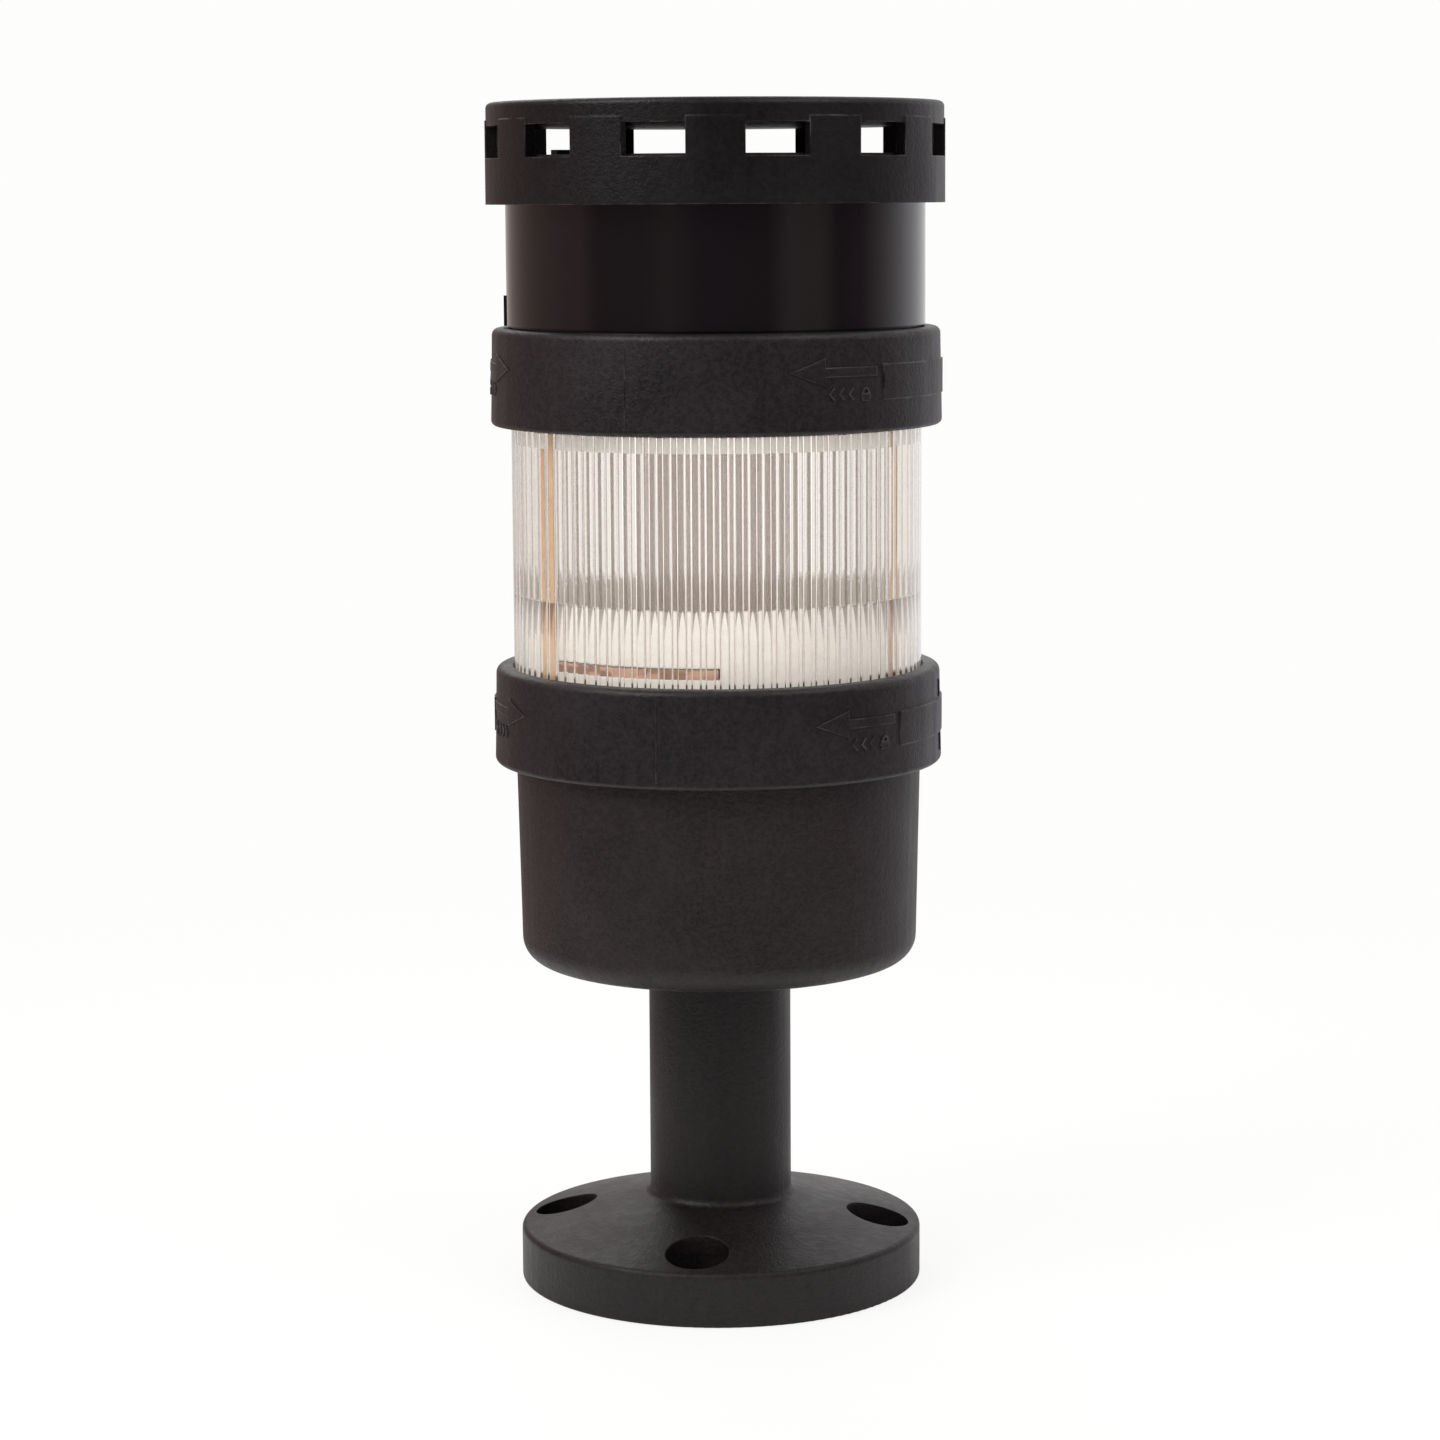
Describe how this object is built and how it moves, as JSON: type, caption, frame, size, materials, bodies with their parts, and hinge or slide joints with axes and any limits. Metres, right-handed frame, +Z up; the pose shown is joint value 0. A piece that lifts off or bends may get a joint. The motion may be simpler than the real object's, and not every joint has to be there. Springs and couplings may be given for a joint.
{
  "type": "stack light",
  "caption": "Signal tower on a round bolt-down foot and short tube: black terminal housing, clear ribbed light section and black sounder with an open-sided cap, held by turning locking rings.",
  "frame": {"origin": "centre of the foot's underside, on the tube's axis", "axes": "+Z up along the tube; the mounting bolts stand on the X and Y axes; the marked front of the modules faces 8.5 degrees past -Y towards +X"},
  "size_m": [0.079, 0.079, 0.2061],
  "materials": {
    "black_plastic": "satin moulded plastic",
    "gloss_black": "glossy moulded plastic",
    "clear_plastic": "clear moulded plastic with inner ribs",
    "white_plastic": "satin white plastic",
    "frosted_plastic": "frosted translucent plastic",
    "board": "circuit board laminate",
    "chip": "moulded electronic parts",
    "lamp_chip": "white lamp chips",
    "rubber": "soft black rubber",
    "contact_metal": "plain copper alloy strip",
    "steel": "zinc-plated screws",
    "sounding_disc": "thin brass disc"
  },
  "bodies": {
    "tower": {"mounting_foot": "black_plastic", "foot_seal": "rubber", "terminal_housing": "black_plastic", "tube_seal": "rubber", "tube_clamp_screws": "steel", "terminal_carrier": "white_plastic", "terminal_blocks": "chip", "terminal_screws": "steel", "carrier_screws": "steel", "terminal_contacts": "contact_metal", "lower_module_seal": "rubber", "lens": "clear_plastic", "light_chassis": "white_plastic", "led_board": "board", "led_board_screws": "steel", "leds": "lamp_chip", "led_resistors": "chip", "diffuser_sleeve": "frosted_plastic", "contact_strips": "contact_metal", "light_cover": "white_plastic", "light_contacts": "contact_metal", "upper_module_seal": "rubber", "sounder_base": "black_plastic", "sounder_base_screws": "steel", "sounder_body": "gloss_black", "sounder_contact_pins": "contact_metal", "sounder_board": "board", "sounder_board_screws": "steel", "sounder_components": "chip", "sound_deck": "black_plastic", "deck_screws": "steel", "sounder_horn": "black_plastic", "piezo_disc": "sounding_disc", "sounder_cap": "black_plastic"},
    "lower_ring": {"lower_locking_ring": "black_plastic"},
    "upper_ring": {"upper_locking_ring": "black_plastic"}
  },
  "joints": [
    {"name": "lower_ring_turn", "type": "hinge", "parent": "tower", "child": "lower_ring", "pos_m": [0, 0, 0.10105], "axis": [0, 0, 1], "range_deg": [0, 20]},
    {"name": "upper_ring_turn", "type": "hinge", "parent": "tower", "child": "upper_ring", "pos_m": [0, 0, 0.15955], "axis": [0, 0, 1], "range_deg": [0, 20]}
  ]
}
